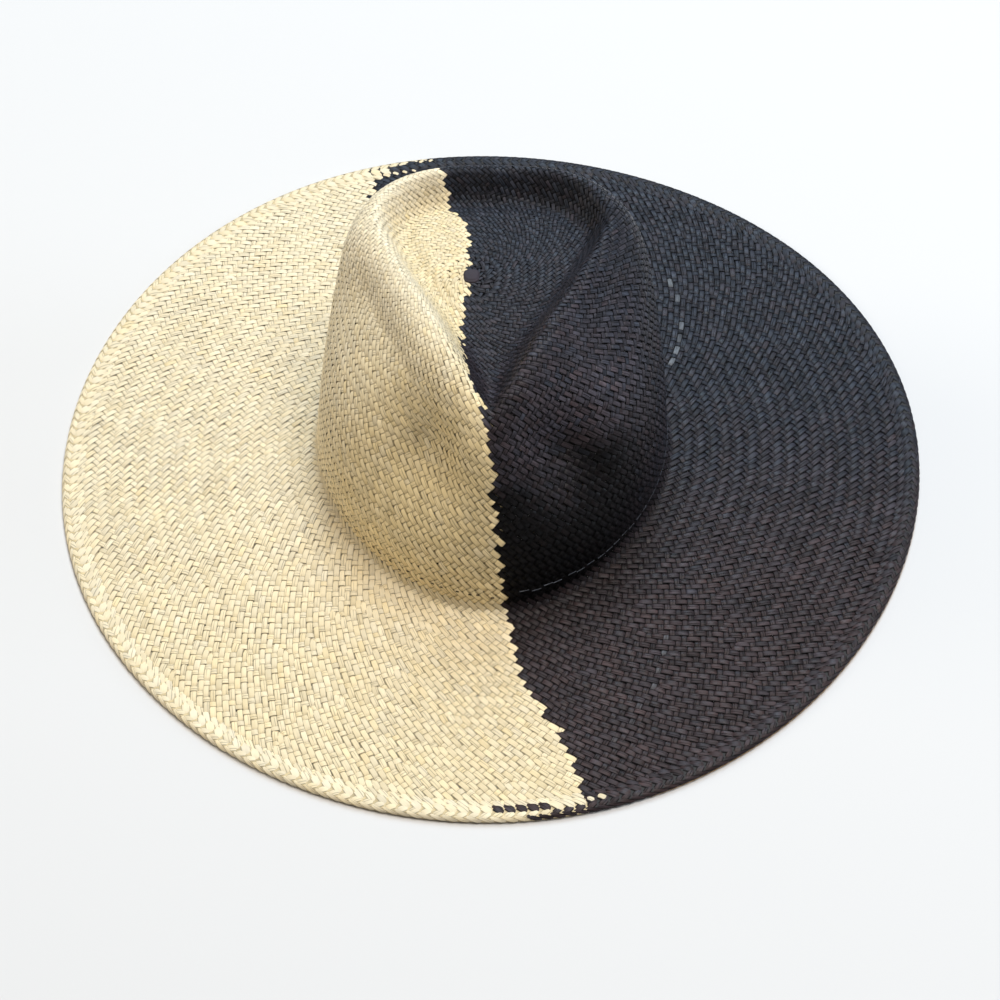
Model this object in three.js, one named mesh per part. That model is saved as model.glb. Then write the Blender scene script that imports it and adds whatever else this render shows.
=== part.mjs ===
// A woven straw hat: pinched teardrop crown, wide flat brim, natural straw on one half and black on the other.
// Millimetres, Z up. The origin is at the bottom centre of the brim, and the front of the hat faces -Y.
// Azimuths are in degrees, counterclockwise from +X seen from above.
import * as THREE from 'three';

// Crown before it is dented
const CROWN_TOP = 122;
const CROWN_FOOT = 14;
const FOOT_HALF_WIDTH = 88;
const FOOT_HALF_LENGTH = 108;
const FOOT_POWER = 1.83;
const TOP_HALF_WIDTH = 79;
const TOP_HALF_LENGTH = 90;
const TOP_POWER = 3;
const TOP_SHIFT = { x: 2, y: 9 };
const ROSETTE = { x: -10.5, y: 23 };

// Roundness of the crown's shoulder: high is square, and it turns from front to back between two angles
const SHOULDER = { front: 3.7, back: 6.5, turnStart: 55, turnEnd: 125 };

// Teardrop dent in the top: half its width at each distance along the hat
const TEARDROP = [
  { y: -76, halfWidth: 0 },
  { y: -66, halfWidth: 5.5 },
  { y: -48, halfWidth: 15.5 },
  { y: -24, halfWidth: 27 },
  { y: 0, halfWidth: 39 },
  { y: 26, halfWidth: 51.5 },
  { y: 52, halfWidth: 58.5 },
  { y: 75, halfWidth: 48 },
  { y: 86, halfWidth: 29 },
  { y: 90, halfWidth: 0 },
];
const DENT = { depth: 25, reach: 10.5, lean: 0.01, meetRounding: 3, stepsPerRow: 12 };
const INNER_RISE = { height: 7, start: 7, end: 24, front: -30, back: 30 };

// Pinch on each side of the front, deepest along a line from its upper to its lower end
const PINCH = { depth: 24, reach: 34, upperShare: 0.5, crestWidth: 24 };
const PINCH_UPPER = new THREE.Vector3(60, 2, 108);
const PINCH_LOWER = new THREE.Vector3(40, -72, 84);

// Brim, its bend at the crown and the braided border round its edge
const BEND_RADIUS = 4;
const BEND_SHARE = 0.05;
const BRIM_RADIUS = 218;
const BRIM_EDGE_HEIGHT = 2;
const BRIM_FALL_POWER = 1.3;
const BORDER_WIDTH = 7;

// The edge isn't quite round: waves round it, each with its count, its height and a crest's azimuth
const BRIM_WAVES = [
  { count: 1, height: 1.4, crest: 131 },
  { count: 2, height: 1.55, crest: 73 },
  { count: 3, height: 1.4, crest: 16.5 },
  { count: 4, height: 0.8, crest: 22.5 },
];

// Thicknesses, the space left between pieces, and the ease that the facets of curved pieces need besides
const STRAW = 1.5;
const SEAT = 0.3;
const SWEATBAND = { thickness: 1.2, height: 32, ease: 0.25 };
const BUTTON = { radius: 4.7, thickness: 2.2, sides: 16, holeRadius: 5.05 };

// Where natural straw meets black, over the crown from the rosette and over the brim from the foot
const CROWN_COLOUR_LINE = [
  { run: 0, front: 250, back: 98 },
  { run: 0.13, front: 253, back: 98 },
  { run: 0.22, front: 256, back: 101.5 },
  { run: 0.3, front: 260, back: 106 },
  { run: 0.4, front: 265, back: 108 },
  { run: 0.5, front: 269, back: 109 },
  { run: 0.65, front: 269.8, back: 109.5 },
  { run: 0.8, front: 271.5, back: 110 },
  { run: 1, front: 273, back: 110 },
];
const BRIM_COLOUR_LINE = [
  { run: 0, front: 273, back: 110 },
  { run: 0.14, front: 274, back: 110 },
  { run: 0.3, front: 275.3, back: 110 },
  { run: 0.55, front: 278.5, back: 110 },
  { run: 0.75, front: 281, back: 110 },
  { run: 1, front: 281.5, back: 109 },
];

// The border's section: how far in from the edge, and height, anticlockwise from its inner foot
const BORDER_SECTION = [
  { inset: 7, height: 0 },
  { inset: 1.4, height: 0 },
  { inset: 0.2, height: 0.9 },
  { inset: 0, height: 1.8 },
  { inset: 1, height: 2.8 },
  { inset: 2.6, height: 3 },
  { inset: 6, height: 3 },
  { inset: 7, height: 2.6 },
];

// The button's rings from its underside up: share of its radius, and share of its thickness
const BUTTON_RINGS = [
  { radius: 0.5, lift: 0 },
  { radius: 1, lift: 0.1 },
  { radius: 1, lift: 0.7 },
  { radius: 0.6, lift: 1 },
];

// Facets: columns stand closer together at the front. On the crown, rows follow the dent up to its ridge,
// and below it they level out to the wall's even rows.
const HALF_COLUMNS = 38;
const FRONT_CROWDING = 1.3;
const DENT_ROWS = 10;
const DENT_ROW_CROWDING = 1.5;
const SHOULDER_ROWS = 6;
const WALL_ROWS = [0.7, 0.75, 0.8, 0.86, 0.93, 1];
const RIDGE_SEARCH = { steps: 60, halvings: 10, last: 0.67 };
const BRIM_ROWS = [0, 0.017, 0.034, 0.05, 0.25, 0.5, 0.75, 1];
const RING_COLUMNS = 72;
const MERIDIAN_STEPS = 240;
const NORMAL_STEP = { azimuth: 0.5, run: 0.004 };

// Length from the rosette over the top and down to the foot, near enough for placing small pieces
const WALL_LENGTH = CROWN_TOP - CROWN_FOOT + TOP_HALF_LENGTH;
const CROWN_START = BUTTON.holeRadius / WALL_LENGTH;
const UP = new THREE.Vector3(0, 0, 1);
const DEGREE = Math.PI / 180;

function smooth(value, start, end) {
  const share = THREE.MathUtils.clamp((value - start) / (end - start), 0, 1);
  return share * share * (3 - 2 * share);
}

// Value of a column at a place along a table whose rows rise in the key
function readTable(rows, key, column, place) {
  const last = rows.length - 1;
  let row = 0;
  while (row < last - 1 && rows[row + 1][key] < place) row += 1;
  const from = rows[row];
  const to = rows[row + 1];
  const share = THREE.MathUtils.clamp((place - from[key]) / (to[key] - from[key]), 0, 1);
  return from[column] + (to[column] - from[column]) * share;
}

// Radius at an azimuth of an oval between a diamond (power 1) and a square (high power)
function planRadius(azimuth, halfWidth, halfLength, power) {
  const across = Math.abs(Math.cos(azimuth * DEGREE)) / halfWidth;
  const along = Math.abs(Math.sin(azimuth * DEGREE)) / halfLength;
  return (across ** power + along ** power) ** (-1 / power);
}

// One meridian of the crown: reach from the axis, height above the foot, and share of its length run so far
function meridian(azimuth) {
  const turned = (((azimuth + 270) % 360) + 360) % 360;
  const fromFront = Math.abs(turned - 180);
  const turn = smooth(fromFront, SHOULDER.turnStart, SHOULDER.turnEnd);
  const section = SHOULDER.front + (SHOULDER.back - SHOULDER.front) * turn;
  const rows = [];
  let run = 0;
  for (let step = 0; step <= MERIDIAN_STEPS; step += 1) {
    const share = step / MERIDIAN_STEPS;
    const angle = (Math.PI / 2) * share * share * (3 - 2 * share);
    const reach = Math.sin(angle) ** (2 / section);
    const rise = Math.max(Math.cos(angle), 0) ** (2 / section);
    const before = rows[step - 1];
    if (before) {
      const across = (reach - before.reach) * TOP_HALF_LENGTH;
      run += Math.hypot(across, (rise - before.rise) * (CROWN_TOP - CROWN_FOOT));
    }
    rows.push({ reach, rise, run });
  }
  rows.forEach((row) => {
    row.run /= run;
  });
  return rows;
}

const meridians = new Map();

function openCrown(azimuth, run) {
  if (!meridians.has(azimuth)) meridians.set(azimuth, meridian(azimuth));
  const rows = meridians.get(azimuth);
  const reach = readTable(rows, 'run', 'reach', run);
  const rise = readTable(rows, 'run', 'rise', run);
  const halfWidth = FOOT_HALF_WIDTH + (TOP_HALF_WIDTH - FOOT_HALF_WIDTH) * rise;
  const halfLength = FOOT_HALF_LENGTH + (TOP_HALF_LENGTH - FOOT_HALF_LENGTH) * rise;
  const power = FOOT_POWER + (TOP_POWER - FOOT_POWER) * rise;
  const radius = reach * planRadius(azimuth, halfWidth, halfLength, power);
  const inner = (1 - reach) * rise;
  return new THREE.Vector3(
    TOP_SHIFT.x * rise + (ROSETTE.x - TOP_SHIFT.x) * inner + radius * Math.cos(azimuth * DEGREE),
    TOP_SHIFT.y * rise + (ROSETTE.y - TOP_SHIFT.y) * inner + radius * Math.sin(azimuth * DEGREE),
    CROWN_FOOT + (CROWN_TOP - CROWN_FOOT) * rise,
  );
}

// The right half of the teardrop, smooth through the table's rows
function makeTeardropOutline() {
  const last = TEARDROP.length - 1;
  const row = (index) => new THREE.Vector2(TEARDROP[index].halfWidth, TEARDROP[index].y);
  const mirrored = (index) => new THREE.Vector2(-TEARDROP[index].halfWidth, TEARDROP[index].y);
  const points = [];
  for (let step = 0; step <= last * DENT.stepsPerRow; step += 1) {
    const k = Math.min(Math.floor(step / DENT.stepsPerRow), last - 1);
    const t = step / DENT.stepsPerRow - k;
    const a = k === 0 ? mirrored(1) : row(k - 1);
    const b = row(k);
    const c = row(k + 1);
    const d = k === last - 1 ? mirrored(last - 1) : row(k + 2);
    const blend = (p, q, r, s) => {
      const square = (2 * p - 5 * q + 4 * r - s) * t ** 2;
      return 0.5 * (2 * q + (r - p) * t + square + (3 * q - p - 3 * r + s) * t ** 3);
    };
    points.push(new THREE.Vector2(blend(a.x, b.x, c.x, d.x), blend(a.y, b.y, c.y, d.y)));
  }
  return points;
}

const teardropOutline = makeTeardropOutline();

function outlineDistance(x, y) {
  let nearest = Infinity;
  for (let i = 0; i < teardropOutline.length - 1; i += 1) {
    const from = teardropOutline[i];
    const side = teardropOutline[i + 1].clone().sub(from);
    const share = ((x - from.x) * side.x + (y - from.y) * side.y) / side.lengthSq();
    const t = THREE.MathUtils.clamp(share, 0, 1);
    nearest = Math.min(nearest, Math.hypot(x - from.x - t * side.x, y - from.y - t * side.y));
  }
  return nearest;
}

// Distance inside the teardrop, rounded where its two sides meet, and negative outside it
function insideTeardrop(x, y) {
  const across = x - DENT.lean * y;
  const last = teardropOutline.length - 1;
  let halfWidth = -1;
  if (y > teardropOutline[0].y && y < teardropOutline[last].y) {
    halfWidth = readTable(teardropOutline, 'y', 'x', y);
  }
  const right = Math.exp(-outlineDistance(across, y) / DENT.meetRounding);
  const left = Math.exp(-outlineDistance(-across, y) / DENT.meetRounding);
  const distance = -DENT.meetRounding * Math.log(right + left);
  return Math.abs(across) < halfWidth ? distance : -distance;
}

function sidePinch(point) {
  const mirrored = new THREE.Vector3(Math.abs(point.x), point.y, point.z);
  const line = new THREE.Line3(PINCH_UPPER, PINCH_LOWER);
  const share = line.closestPointToPointParameter(mirrored, true);
  const distance = line.at(share, new THREE.Vector3()).distanceTo(mirrored);
  const strength = PINCH.upperShare + (1 - PINCH.upperShare) * share;
  return PINCH.depth * strength * Math.exp(-((distance / PINCH.reach) ** 2));
}

// Outward normal of a surface given as a function of azimuth and run
function normalOf(surface, azimuth, run) {
  const turn = NORMAL_STEP.azimuth;
  const around = surface(azimuth + turn, run).sub(surface(azimuth - turn, run));
  const outer = surface(azimuth, Math.min(run + NORMAL_STEP.run, 1));
  const inner = surface(azimuth, Math.max(run - NORMAL_STEP.run, 0));
  return outer.sub(inner).cross(around).normalize();
}

function crownSurface(azimuth, run) {
  const point = openCrown(azimuth, run);
  const inside = insideTeardrop(point.x, point.y);
  const depthInside = Math.max(inside, 0);
  const dent = DENT.depth * (1 - Math.exp(-((depthInside / DENT.reach) ** 2)));
  const middle = smooth(depthInside, INNER_RISE.start, INNER_RISE.end);
  const rise = INNER_RISE.height * middle * smooth(point.y, INNER_RISE.front, INNER_RISE.back);
  const pinch = sidePinch(point) * smooth(-inside, 0, PINCH.crestWidth);
  const normal = run > 0 ? normalOf(openCrown, azimuth, run) : UP;
  point.addScaledVector(normal, -pinch);
  point.z -= dent - rise;
  return point;
}

function brimEdgeRadius(azimuth) {
  const wave = ({ count, height, crest }) => height * Math.cos(count * (azimuth - crest) * DEGREE);
  return BRIM_WAVES.reduce((radius, row) => radius + wave(row), BRIM_RADIUS);
}

// The bend at the foot and the brim, out to the inner side of the border
function brimSurface(azimuth, run) {
  const foot = planRadius(azimuth, FOOT_HALF_WIDTH, FOOT_HALF_LENGTH, FOOT_POWER);
  const bend = (Math.PI / 2) * THREE.MathUtils.clamp(run / BEND_SHARE, 0, 1);
  const out = THREE.MathUtils.clamp((run - BEND_SHARE) / (1 - BEND_SHARE), 0, 1);
  const end = brimEdgeRadius(azimuth) - BORDER_WIDTH - SEAT;
  const radius = foot + BEND_RADIUS * (1 - Math.cos(bend)) + (end - foot - BEND_RADIUS) * out;
  const fall = (CROWN_FOOT - BEND_RADIUS - BRIM_EDGE_HEIGHT) * (1 - (1 - out) ** BRIM_FALL_POWER);
  return new THREE.Vector3(
    radius * Math.cos(azimuth * DEGREE),
    radius * Math.sin(azimuth * DEGREE),
    CROWN_FOOT - SEAT - BEND_RADIUS * Math.sin(bend) - fall,
  );
}

// A closed body from a grid of outer points and one of inner points; wrapped columns join end to end
function closedShell(outer, inner, wrapped) {
  const columns = outer.length;
  const rows = outer[0].length;
  const positions = [];
  [outer, inner].forEach((grid) => grid.forEach((column) => column.forEach((p) => positions.push(p.x, p.y, p.z))));
  const at = (side, i, j) => (side * columns + (i % columns)) * rows + j;
  const triangles = [];
  const quad = (a, b, c, d) => triangles.push(a, b, c, a, c, d);
  const spans = wrapped ? columns : columns - 1;
  for (let i = 0; i < spans; i += 1) {
    for (let j = 0; j < rows - 1; j += 1) {
      quad(at(0, i, j), at(0, i, j + 1), at(0, i + 1, j + 1), at(0, i + 1, j));
      quad(at(1, i, j), at(1, i + 1, j), at(1, i + 1, j + 1), at(1, i, j + 1));
    }
    quad(at(0, i, 0), at(0, i + 1, 0), at(1, i + 1, 0), at(1, i, 0));
    quad(at(0, i, rows - 1), at(1, i, rows - 1), at(1, i + 1, rows - 1), at(0, i + 1, rows - 1));
  }
  if (!wrapped) {
    const last = columns - 1;
    for (let j = 0; j < rows - 1; j += 1) {
      quad(at(0, 0, j), at(1, 0, j), at(1, 0, j + 1), at(0, 0, j + 1));
      quad(at(0, last, j), at(0, last, j + 1), at(1, last, j + 1), at(1, last, j));
    }
  }
  const geometry = new THREE.BufferGeometry();
  geometry.setAttribute('position', new THREE.Float32BufferAttribute(positions, 3));
  geometry.setIndex(triangles);
  geometry.computeVertexNormals();
  return geometry;
}

// Azimuth of a column of one colour's half; a small turn leaves the space between the two colours
function halfAzimuth(colour, line, run, radius, share) {
  const front = readTable(line, 'run', 'front', run);
  const back = readTable(line, 'run', 'back', run);
  const space = SEAT / 2 / Math.max(radius, 1) / DEGREE;
  if (colour === 'natural') return back + space + (front - back - 2 * space) * share;
  return front + space + (back + 360 - front - 2 * space) * share;
}

function columnShare(colour, column) {
  const share = column / HALF_COLUMNS;
  return colour === 'natural' ? 1 - (1 - share) ** FRONT_CROWDING : share ** FRONT_CROWDING;
}

// One colour's half of a surface, with the straw's thickness
function strawHalf(surface, colour, azimuthAt, runsOf) {
  const outer = [];
  const inner = [];
  for (let i = 0; i <= HALF_COLUMNS; i += 1) {
    const share = columnShare(colour, i);
    const column = runsOf(share).map((run) => {
      const azimuth = azimuthAt(share, run);
      return { point: surface(azimuth, run), normal: normalOf(surface, azimuth, run) };
    });
    outer.push(column.map(({ point, normal }) => point.clone().addScaledVector(normal, STRAW / 2)));
    inner.push(column.map(({ point, normal }) => point.clone().addScaledVector(normal, -STRAW / 2)));
  }
  return closedShell(outer, inner, false);
}

// Where a column going out from the rosette leaves the teardrop
function ridgeRun(azimuthOf) {
  const isInside = (run) => {
    const point = openCrown(azimuthOf(run), run);
    return insideTeardrop(point.x, point.y) > 0;
  };
  let step = RIDGE_SEARCH.steps;
  while (step > 1 && !isInside(step / RIDGE_SEARCH.steps)) step -= 1;
  let low = step / RIDGE_SEARCH.steps;
  let high = (step + 1) / RIDGE_SEARCH.steps;
  for (let k = 0; k < RIDGE_SEARCH.halvings; k += 1) {
    const middle = (low + high) / 2;
    if (isInside(middle)) low = middle;
    else high = middle;
  }
  return Math.min(low, RIDGE_SEARCH.last);
}

function crownHalf(colour) {
  const azimuthAt = (share, run) => {
    const radius = run * FOOT_HALF_WIDTH;
    return halfAzimuth(colour, CROWN_COLOUR_LINE, run, radius, share);
  };
  const runsOf = (share) => {
    const ridge = ridgeRun((run) => azimuthAt(share, run));
    const runs = [];
    for (let j = 0; j < DENT_ROWS; j += 1) {
      const toRidge = (1 - j / DENT_ROWS) ** DENT_ROW_CROWDING;
      runs.push(ridge - (ridge - CROWN_START) * toRidge);
    }
    for (let j = 0; j < SHOULDER_ROWS; j += 1) {
      runs.push(ridge + ((WALL_ROWS[0] - ridge) * j) / SHOULDER_ROWS);
    }
    return runs.concat(WALL_ROWS);
  };
  return strawHalf(crownSurface, colour, azimuthAt, runsOf);
}

function brimHalf(colour) {
  const azimuthAt = (share, run) => {
    const radius = FOOT_HALF_WIDTH + (BRIM_RADIUS - FOOT_HALF_WIDTH) * run;
    return halfAzimuth(colour, BRIM_COLOUR_LINE, run, radius, share);
  };
  return strawHalf(brimSurface, colour, azimuthAt, () => BRIM_ROWS);
}

// The border is one section carried round the edge, flat underneath where the hat rests
function borderHalf(colour) {
  const positions = [];
  for (let i = 0; i <= HALF_COLUMNS; i += 1) {
    const azimuth = halfAzimuth(colour, BRIM_COLOUR_LINE, 1, BRIM_RADIUS, columnShare(colour, i));
    BORDER_SECTION.forEach(({ inset, height }) => {
      const radius = brimEdgeRadius(azimuth) - inset;
      positions.push(radius * Math.cos(azimuth * DEGREE), radius * Math.sin(azimuth * DEGREE), height);
    });
  }
  const count = BORDER_SECTION.length;
  const triangles = [];
  for (let i = 0; i < HALF_COLUMNS; i += 1) {
    for (let k = 0; k < count; k += 1) {
      const a = i * count + k;
      const b = i * count + ((k + 1) % count);
      triangles.push(a, b + count, b, a, a + count, b + count);
    }
  }
  const end = HALF_COLUMNS * count;
  for (let k = 1; k < count - 1; k += 1) {
    triangles.push(0, k, k + 1);
    triangles.push(end, end + k + 1, end + k);
  }
  const geometry = new THREE.BufferGeometry();
  geometry.setAttribute('position', new THREE.Float32BufferAttribute(positions, 3));
  geometry.setIndex(triangles);
  geometry.computeVertexNormals();
  return geometry;
}

// The band inside the crown follows the crown's inner side from the foot up
function sweatband() {
  const outer = [];
  const inner = [];
  const near = STRAW / 2 + SEAT + SWEATBAND.ease;
  const runs = [0, 1 / 3, 2 / 3, 1].map((share) => 1 - ((1 - share) * SWEATBAND.height) / WALL_LENGTH);
  for (let i = 0; i < RING_COLUMNS; i += 1) {
    const azimuth = (360 * i) / RING_COLUMNS;
    const offset = (run, depth) => {
      const normal = normalOf(crownSurface, azimuth, run);
      return crownSurface(azimuth, run).addScaledVector(normal, -depth);
    };
    outer.push(runs.map((run) => offset(run, near)));
    inner.push(runs.map((run) => offset(run, near + SWEATBAND.thickness)));
  }
  return closedShell(outer, inner, true);
}

// The small round button fills the hole in the middle of the weave
function crownButton() {
  const positions = [];
  const triangles = [];
  BUTTON_RINGS.forEach(({ radius, lift }) => {
    for (let k = 0; k < BUTTON.sides; k += 1) {
      const azimuth = (360 * k) / BUTTON.sides;
      const run = (BUTTON.radius * radius) / WALL_LENGTH;
      const normal = normalOf(crownSurface, azimuth, run);
      const point = crownSurface(azimuth, run).addScaledVector(normal, BUTTON.thickness * lift - STRAW / 2);
      positions.push(point.x, point.y, point.z);
    }
  });
  const ring = (level, k) => level * BUTTON.sides + (k % BUTTON.sides);
  for (let level = 0; level < BUTTON_RINGS.length - 1; level += 1) {
    for (let k = 0; k < BUTTON.sides; k += 1) {
      triangles.push(ring(level, k), ring(level, k + 1), ring(level + 1, k + 1));
      triangles.push(ring(level, k), ring(level + 1, k + 1), ring(level + 1, k));
    }
  }
  const top = BUTTON_RINGS.length - 1;
  for (let k = 1; k < BUTTON.sides - 1; k += 1) {
    triangles.push(ring(0, 0), ring(0, k + 1), ring(0, k));
    triangles.push(ring(top, 0), ring(top, k), ring(top, k + 1));
  }
  const geometry = new THREE.BufferGeometry();
  geometry.setAttribute('position', new THREE.Float32BufferAttribute(positions, 3));
  geometry.setIndex(triangles);
  geometry.computeVertexNormals();
  return geometry;
}

const naturalStraw = new THREE.MeshStandardMaterial({ color: 0xe9dcb4, roughness: 0.6, metalness: 0 });
const blackStraw = new THREE.MeshStandardMaterial({ color: 0x24242b, roughness: 0.5, metalness: 0 });
const bandCloth = new THREE.MeshStandardMaterial({ color: 0x1c1b1e, roughness: 0.85, metalness: 0 });
const buttonFinish = new THREE.MeshStandardMaterial({ color: 0x2c2430, roughness: 0.45, metalness: 0 });

function piece(name, geometry, material) {
  const mesh = new THREE.Mesh(geometry, material.clone());
  mesh.name = name;
  return mesh;
}

const hat = new THREE.Group();
hat.add(piece('crown_natural', crownHalf('natural'), naturalStraw));
hat.add(piece('crown_black', crownHalf('black'), blackStraw));
hat.add(piece('brim_natural', brimHalf('natural'), naturalStraw));
hat.add(piece('brim_black', brimHalf('black'), blackStraw));
hat.add(piece('border_natural', borderHalf('natural'), naturalStraw));
hat.add(piece('border_black', borderHalf('black'), blackStraw));
hat.add(piece('sweatband', sweatband(), bandCloth));
hat.add(piece('crown_button', crownButton(), buttonFinish));

export default hat;
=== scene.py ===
"""A woven straw hat, natural straw on one half and black on the other, on a pale floor."""
import math

import bpy
import numpy as np
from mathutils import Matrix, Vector


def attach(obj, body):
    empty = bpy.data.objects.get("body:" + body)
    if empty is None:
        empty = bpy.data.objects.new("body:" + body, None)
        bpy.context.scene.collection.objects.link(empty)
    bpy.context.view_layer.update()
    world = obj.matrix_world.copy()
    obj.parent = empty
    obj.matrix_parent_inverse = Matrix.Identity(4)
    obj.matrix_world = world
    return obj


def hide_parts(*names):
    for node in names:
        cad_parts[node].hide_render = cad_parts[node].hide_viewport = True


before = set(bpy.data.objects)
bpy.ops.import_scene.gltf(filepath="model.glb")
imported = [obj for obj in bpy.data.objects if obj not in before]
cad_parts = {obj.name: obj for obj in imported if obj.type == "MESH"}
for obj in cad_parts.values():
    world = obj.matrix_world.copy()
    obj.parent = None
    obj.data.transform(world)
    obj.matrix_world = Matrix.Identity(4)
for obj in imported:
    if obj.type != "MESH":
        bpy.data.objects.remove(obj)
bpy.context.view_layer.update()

MM = 0.001
SEED = 7

# Crown before it is dented, in millimetres. These sizes are the solids' own.
CROWN_TOP = 122.0
CROWN_FOOT = 14.0
FOOT_HALF_WIDTH = 88.0
FOOT_HALF_LENGTH = 108.0
FOOT_POWER = 1.83
TOP_HALF_WIDTH = 79.0
TOP_HALF_LENGTH = 90.0
TOP_POWER = 3.0
TOP_SHIFT = (2.0, 9.0)
ROSETTE = (-10.5, 23.0)
FRONT_SECTION = 3.7
BACK_SECTION = 6.5
SECTION_TURN = (55.0, 125.0)

# Teardrop dent: place along the hat and half width
TEARDROP = np.array([
    (-76.0, 0.0),
    (-66.0, 5.5),
    (-48.0, 15.5),
    (-24.0, 27.0),
    (0.0, 39.0),
    (26.0, 51.5),
    (52.0, 58.5),
    (75.0, 48.0),
    (86.0, 29.0),
    (90.0, 0.0),
])
TEARDROP_LEAN = 0.01
DENT_DEPTH = 25.0
DENT_REACH = 10.5
MEET_ROUNDING = 3.0
INNER_RISE = 7.0
INNER_RISE_SPAN = (7.0, 24.0)
INNER_RISE_ALONG = (-30.0, 30.0)

# Pinch on each side of the front
PINCH_DEPTH = 24.0
PINCH_REACH = 34.0
PINCH_UPPER = np.array([60.0, 2.0, 108.0])
PINCH_LOWER = np.array([40.0, -72.0, 84.0])
PINCH_UPPER_SHARE = 0.5
CREST_WIDTH = 24.0

# Brim, its bend at the foot and the border round it
BEND_RADIUS = 4.0
BEND_SHARE = 0.05
BRIM_RADIUS = 218.0
BRIM_EDGE_HEIGHT = 2.0
BRIM_FALL_POWER = 1.3
BORDER_WIDTH = 7.0

# The edge isn't quite round: count of waves round it, their height and a crest's azimuth in degrees
BRIM_WAVES = np.array([
    (1, 1.4, 131.0),
    (2, 1.55, 73.0),
    (3, 1.4, 16.5),
    (4, 0.8, 22.5),
])

# Where natural straw meets black: run, azimuth at the front, azimuth at the back
CROWN_LINE = np.array([
    (0.0, 250.0, 98.0),
    (0.07, 251.0, 104.0),
    (0.13, 252.0, 98.0),
    (0.24, 257.0, 102.0),
    (0.3, 260.0, 107.0),
    (0.4, 265.0, 108.0),
    (0.47, 268.0, 109.0),
    (0.65, 270.0, 110.0),
    (0.83, 271.5, 110.0),
    (1.0, 273.5, 110.0),
])
BRIM_LINE = np.array([
    (0.0, 273.5, 110.0),
    (0.14, 274.0, 110.0),
    (0.36, 275.7, 110.0),
    (0.56, 278.7, 110.0),
    (0.67, 280.5, 110.0),
    (0.85, 281.3, 109.5),
    (1.0, 281.0, 107.5),
])

# Each straw lies on one side or the other of that line, give or take a little, and natural straws
# that end at the black are brighter
RAGGED = 0.8
TIP_REACH = 2.6
TIP_SHADE = 1.12

# Weave: distance from the rosette, and spacing of the straws round a ring there
SPACING = np.array([
    (0.0, 2.1),
    (20.0, 2.3),
    (48.0, 2.5),
    (66.0, 3.0),
    (90.0, 3.6),
    (130.0, 3.9),
    (330.0, 4.1),
])

# Rings of crossings: the first one's distance and straws, the rings in one repeat of the weave and
# those that a straw's path over it is read from, the share of the way round between one new straw
# and the next, and how often a ring is evened out
RING_START = 4.6
FIRST_STRAWS = 12
RINGS_IN_REPEAT = 3
PATH_RINGS = 5
SPREAD = 0.618034
EVENING_ROUNDS = 4

# Straws: width as a share of the space for them, lift over the surface and height of their arch
# where they are widest apart, and how far they stray as a share of the space
FIT = 1.0
WIDTH_SCATTER = 0.05
WIDEST_GAP = 4.1
LIFT = 0.4
ARCH = 0.24
DRIFT = 0.035

# The sheet that the weave lies on goes past the brim's end, which is run 1, and under the border
SHEET_COLUMNS = 720
SHEET_CROWN_ROWS = 260
SHEET_BRIM_ROWS = 140
SHEET_STEP = 0.5
ROUGH_CROWN_LENGTH = 200
SHEET_FIRST_RUN = RING_START / ROUGH_CROWN_LENGTH
SHEET_LAST_RUN = 1.1
WEAVE_LAST_RUN = 1.04

# Top of the border from the brim out and over the edge: how far in from the edge, and height
BORDER_TOP = np.array([
    (11.0, 2.3),
    (8.0, 2.5),
    (6.2, 2.9),
    (4.5, 3.1),
    (2.6, 3.1),
    (1.2, 2.9),
    (0.3, 2.3),
    (0.0, 1.7),
    (0.1, 1.1),
])
BORDER_STEPS = 7

# Rows of the border's braid: where each starts and ends along that top, how far its straws lean
# round the edge, their share of the space between them, their lift at the middle and the ends,
# and where natural straw starts and ends
BORDER_PITCH = 5.4
BORDER_ROWS = {
    "inner": {
        "start": 0.0, "end": 4.2, "lean": 6.0,
        "fit": 1.0, "lift": 0.5, "back": 107.0, "front": 281.8,
    },
    "groove": {
        "start": 2.6, "end": 7.9, "lean": 6.4,
        "fit": 1.2, "lift": 0.6, "back": 105.0, "front": 270.6,
    },
    "middle": {
        "start": 6.5, "end": 10.1, "lean": -5.0,
        "fit": 1.02, "lift": 0.45, "back": 102.5, "front": 276.5,
    },
    "rim": {
        "start": 9.2, "end": 12.2, "lean": 9.0,
        "fit": 1.15, "lift": 0.35, "back": 100.5, "front": 273.7,
    },
}
BORDER_ARCH = 0.34
BORDER_WIDTH_SCATTER = 0.06

# Single natural straws that show again past the end of their row: azimuth and share of a whole
# straw's size. They lie over the black ones.
BORDER_FLECKS = {
    "inner": ((105.9, 0.7), (104.5, 0.62), (103.1, 0.55), (101.7, 0.5)),
    "groove": ((277.2, 1.0), (278.7, 0.95), (280.4, 0.9), (281.9, 0.62), (283.6, 0.66)),
    "middle": ((101.2, 0.62), (99.8, 0.58), (98.6, 0.5)),
    "rim": (),
}
FLECK_LIFT = 0.25

# Narrow tan edge that shows under the black border, between two azimuths
TAN_EDGE = {
    "start": 289.0,
    "end": 347.0,
    "height": 1.0,
    "half_width": 0.45,
    "lift": 0.3,
    "steps": 80,
}

# Single pale straws among the black ones of the brim: azimuth and run along each line of them
PALE_LONG_STRAW = np.array([
    (26.5, 0.12),
    (35.5, 0.256),
    (42.5, 0.372),
    (51.5, 0.508),
])
PALE_SHORT_STRAW = np.array([
    (307.0, 0.402),
    (294.0, 0.653),
    (286.0, 0.804),
])
PALE_REACH = 2.0
PALE_LEAST = 0.25
PALE_SPREAD = 0.6
PALE_SHORT_SHARE = 0.55

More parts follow.
